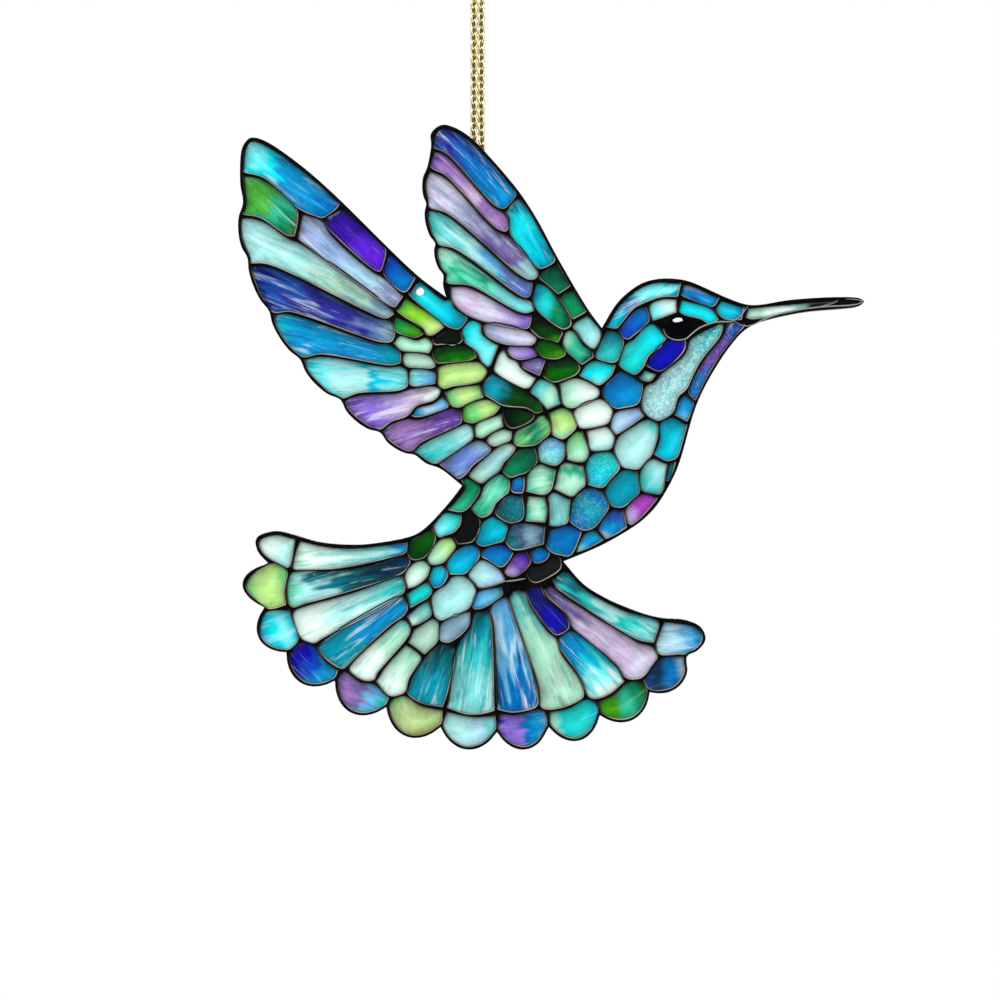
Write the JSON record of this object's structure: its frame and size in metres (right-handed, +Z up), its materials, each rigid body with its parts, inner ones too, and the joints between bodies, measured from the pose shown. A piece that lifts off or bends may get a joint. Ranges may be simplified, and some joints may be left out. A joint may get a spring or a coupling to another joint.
{
  "type": "acrylic suncatcher",
  "caption": "Clear acrylic hummingbird suncatcher with raised black leading and translucent blue, green and violet fields, hung by a double strand of fine gold coloured chain.",
  "frame": {"origin": "the point inside the hanging ring, at the top of its bore, where a hook carries it", "axes": "+Z up along the chain, the painted front faces -Y, the beak points to +X"},
  "size_m": [0.1566, 0.0069, 0.1983],
  "materials": {
    "acrylic": "polished clear acrylic with translucent colour",
    "leading": "gloss black, raised",
    "brass": "pale gold coloured"
  },
  "bodies": {
    "root": {"acrylic_plate": "acrylic", "leading": "leading", "bail": "brass", "jump_ring": "brass", "chain_left": "brass", "chain_right": "brass", "hanging_ring": "brass"}
  },
  "joints": []
}
